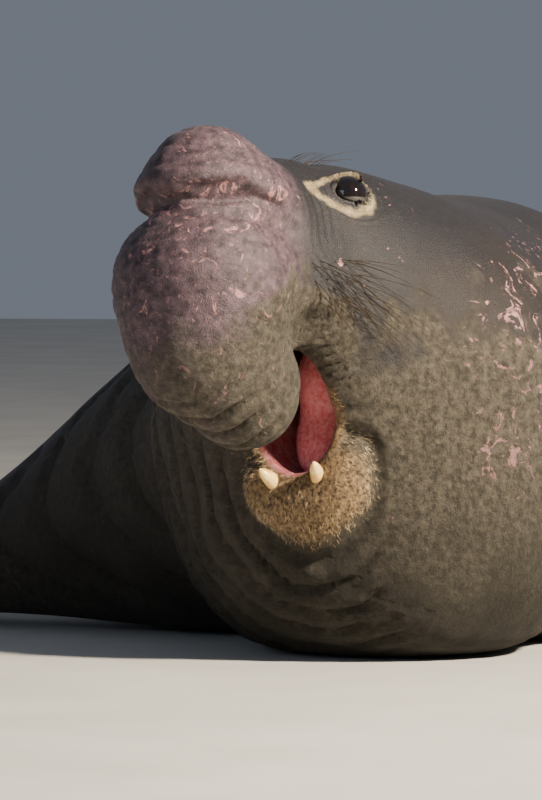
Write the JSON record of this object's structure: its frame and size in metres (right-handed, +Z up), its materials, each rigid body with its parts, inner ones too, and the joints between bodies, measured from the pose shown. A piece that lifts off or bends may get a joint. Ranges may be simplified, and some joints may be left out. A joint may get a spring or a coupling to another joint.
{
  "type": "elephant seal",
  "caption": "Life-size still model of a bull elephant seal lying on its belly, head raised and turned right, mouth wide open, proboscis swollen.",
  "frame": {"origin": "on the floor under the shoulders, on the flat of the belly", "axes": "+X forward along the spine towards the head, +Y to the animal's left, +Z up"},
  "size_m": [4.6554, 2.3006, 0.8529],
  "materials": {
    "hide": "satin, short flat hair with dried mud",
    "eye": "glossy",
    "mouth": "wet",
    "tooth": "satin"
  },
  "bodies": {
    "root": {"torso_front": "hide", "torso_middle": "hide", "torso_rear": "hide", "tail": "hide", "hind_flipper_right": "hide", "hind_flipper_left": "hide", "foreflipper_right": "hide", "foreflipper_left": "hide", "head": "hide", "neck": "hide", "proboscis": "hide", "lower_jaw": "hide", "tongue": "mouth", "lower_canine_left": "tooth", "lower_canine_right": "tooth", "eye_left": "eye", "eye_right": "eye"}
  },
  "joints": []
}
